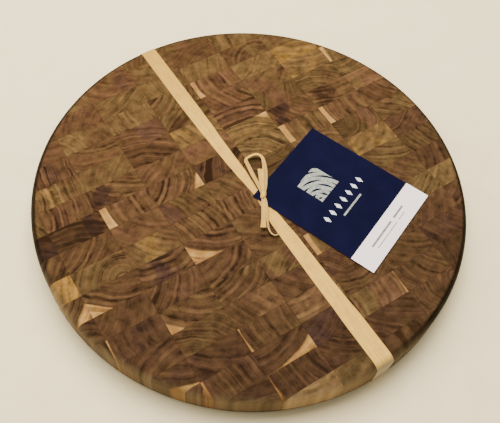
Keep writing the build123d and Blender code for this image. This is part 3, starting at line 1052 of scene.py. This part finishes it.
# The row of lozenges, and the fine rule under it
LOZENGES = 7
LOZENGE_X = 13.5
LOZENGE_Y = -53.5
LOZENGE_STEP = 8.15
LOZENGE_LINES = [(0.1, 3.7), (1.9, 0), (0.1, -3.7)]  # half its width at three heights
FINE_RULE = (25.0, 51.0, -62.1, 0.8)
lozenges = []
for i in range(LOZENGES):
    x = LOZENGE_X + LOZENGE_STEP * i
    lozenges.append([
        [(x + half_w, LOZENGE_Y + up), (x - half_w, LOZENGE_Y + up)]
        for half_w, up in LOZENGE_LINES
    ])
white_foil = stamped("white_foil", "#c4c6cc", "#e4e6ea", 0.1, 0.5)
pressed("foil_border", lozenges, CARD_TOP_Z + PRINT_Z, white_foil)
pressed("foil_rule", [rule(*FINE_RULE)], CARD_TOP_Z + PRINT_Z, silver)

# The rules on the label, two to a line
LABEL_RULES = [
    (14.0, 43.5, -95.0, 0.85),
    (47.5, 62.0, -95.0, 0.85),
    (16.0, 46.0, -99.2, 0.35),
    (48.5, 58.0, -99.2, 0.35),
]
rules = [rule(*sizes) for sizes in LABEL_RULES]
grey_print = stamped("grey_print", "#6b6468", "#8b8488", 0.0, 0.6)
pressed("label_rules", rules, LABEL_TOP_Z + PRINT_Z, grey_print)

# The table top under the board, which isn't part of the object: a wide sheet of warm white
# background paper, unrolled and lying flat.
FLOOR_HALF = 3.0  # in metres
GRAINS_PER_MM = 0.04  # faint clouds, 25 mm across: the paper's fibre is too fine to show


def studio_paper():
    """Uncoated background paper: matt, with hardly any texture."""
    made, tree, shader, place = blank_finish("warm_background_paper")
    grain = add(tree, "TexNoise", {"Vector": place, "Scale": GRAINS_PER_MM, "Detail": 2.0})
    paper = add(tree, "ValToRGB", {0: grain})
    fill_ramp(paper, [(0.3, "#f0e0b2"), (0.7, "#f4e4b8")])
    fill(tree, shader, {"Base Color": paper, "Roughness": 0.8})
    return made


corners = [(x * FLOOR_HALF, y * FLOOR_HALF, 0) for x, y in ((-1, -1), (1, -1), (1, 1), (-1, 1))]
floor = new_piece("paper_floor", corners, [(0, 1, 2, 3)])
floor.data.materials.append(studio_paper())

# The camera, a hand-held one over the near edge, turned a little in its own plane. It looks
# down at the board from half a metre or so.
VIEW_TURN = math.radians(-36.7)
VIEW_DOWN = math.radians(58.37)
VIEW_ROLL = math.radians(5.6)
SENSOR_W = 36.0
FOCAL_PIXELS = 681.5
PICTURE_PIXELS = 500
BOARD_IN_VIEW = Vector((1.55, 21.5, -559.2))  # the top's centre from the camera, in mm
turned = (
    Matrix.Rotation(VIEW_TURN, 3, "Z")
    @ Matrix.Rotation(math.pi / 2 - VIEW_DOWN, 3, "X")
    @ Matrix.Rotation(VIEW_ROLL, 3, "Z")
)
camera = bpy.data.objects.new("camera", bpy.data.cameras.new("camera"))
bpy.context.scene.collection.objects.link(camera)
camera_place = (Vector((0, 0, TOP_Z)) - turned @ BOARD_IN_VIEW) * MM
camera.matrix_world = Matrix.Translation(camera_place) @ turned.to_4x4()
camera.data.sensor_width = SENSOR_W
camera.data.lens = FOCAL_PIXELS * SENSOR_W / PICTURE_PIXELS
camera.data.clip_start = 0.01
bpy.context.scene.camera = camera


# The light: a large soft lamp over the board and a little behind it, a weaker one at the height
# of a window on the left, and the pale walls of the room around them.
def soft_light(name, place, width, power, colour):
    """A square soft light at a place in the view's own directions, right, away and up, turned
    to the middle of the board."""
    spot = Matrix.Rotation(VIEW_TURN, 3, "Z") @ Vector(place)
    lamp = bpy.data.lights.new(name, "AREA")
    lamp.size = width
    lamp.energy = power
    lamp.color = linear(colour)[:3]
    made = bpy.data.objects.new(name, lamp)
    made.location = spot
    made.rotation_euler = (-spot).to_track_quat("-Z", "Y").to_euler()
    bpy.context.scene.collection.objects.link(made)
    return made


ceiling = soft_light("ceiling", (-0.12, 0.43, 1.25), 1.1, 49.0, "#fffaf4")
ceiling.visible_glossy = False  # so that it doesn't mirror in the oiled wood and the card
soft_light("left_window", (-1.25, 0.0, 0.85), 0.9, 11.0, "#fffaf4")
room = bpy.data.worlds.new("pale_room")
room.use_nodes = True
walls = room.node_tree.nodes["Background"]
fill(room.node_tree, walls, {"Color": linear("#e8e2d6"), "Strength": 0.6})
bpy.context.scene.world = room
